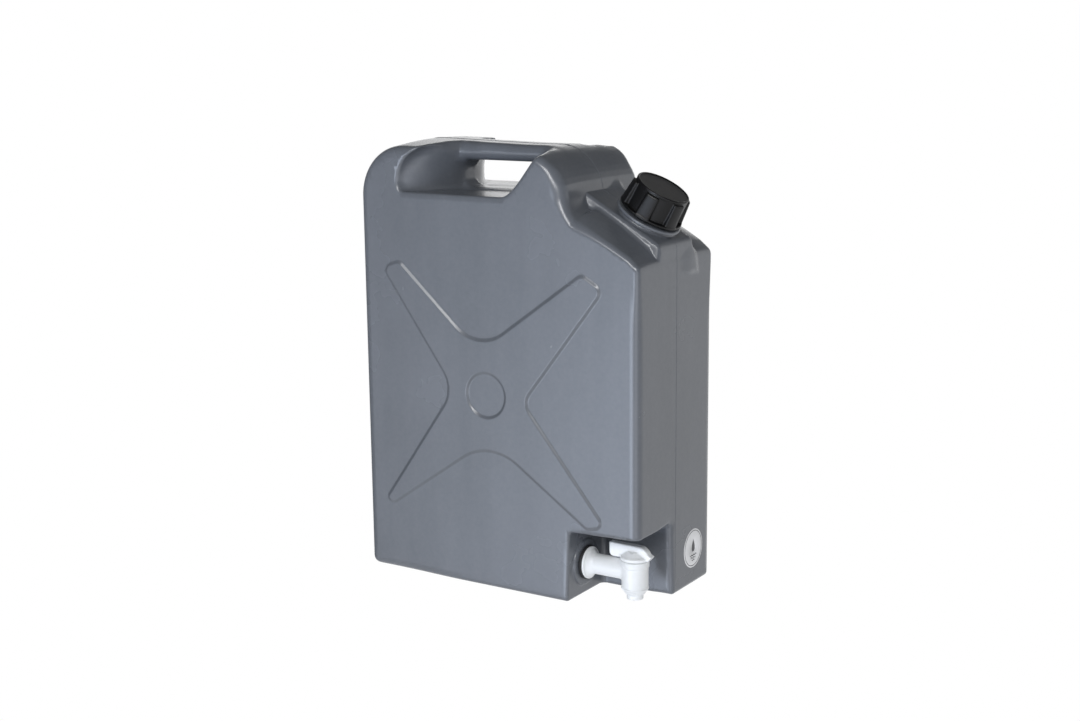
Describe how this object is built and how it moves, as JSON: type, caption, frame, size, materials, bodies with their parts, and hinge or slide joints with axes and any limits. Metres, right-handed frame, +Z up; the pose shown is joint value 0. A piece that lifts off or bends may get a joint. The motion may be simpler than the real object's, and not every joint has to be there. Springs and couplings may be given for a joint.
{
  "type": "jerry can",
  "caption": "Upright plastic water can with a carrying handle, a tilted screw filler cap and a quarter-turn drain tap in a corner recess.",
  "frame": {"origin": "middle of the base, on the floor plane", "axes": "+X along the can towards the tap end, -Y towards the broad face the tap recess opens to, +Z up"},
  "size_m": [0.3551, 0.1656, 0.4753],
  "materials": {
    "can_plastic": "blow-moulded polyethylene, semi-gloss, blue-grey",
    "cap_plastic": "moulded, black, fine texture",
    "seal_rubber": "smooth black",
    "tap_plastic": "moulded, milky white, slightly translucent",
    "key_plastic": "moulded, white",
    "label_film": "printed white film"
  },
  "bodies": {
    "can": {"tank": "can_plastic", "tap_washer": "seal_rubber", "tap_body": "tap_plastic", "capacity_label": "label_film"},
    "cap_lifter": {"cap_gasket": "seal_rubber"},
    "cap": {"filler_cap": "cap_plastic"},
    "key": {"tap_key": "key_plastic", "key_ring_upper": "seal_rubber", "key_ring_lower": "seal_rubber"}
  },
  "joints": [
    {"name": "cap_lift", "type": "slide", "parent": "can", "child": "cap_lifter", "axis": [0.5, 0, 0.866], "range_m": [0, 0.01126]},
    {"name": "cap_turn", "type": "hinge", "parent": "cap_lifter", "child": "cap", "pos_m": [0.1366, 0, 0.39766], "axis": [0.5, 0, 0.866], "range_deg": [0, 810]},
    {"name": "tap_turn", "type": "hinge", "parent": "can", "child": "key", "pos_m": [0.1495, -0.046, 0.036], "axis": [0, 0, 1], "range_deg": [0, 90]}
  ],
  "couplings": [
    {"joint": "cap_lift", "follows": "cap_turn", "m_per_rad": 0.00079577}
  ]
}
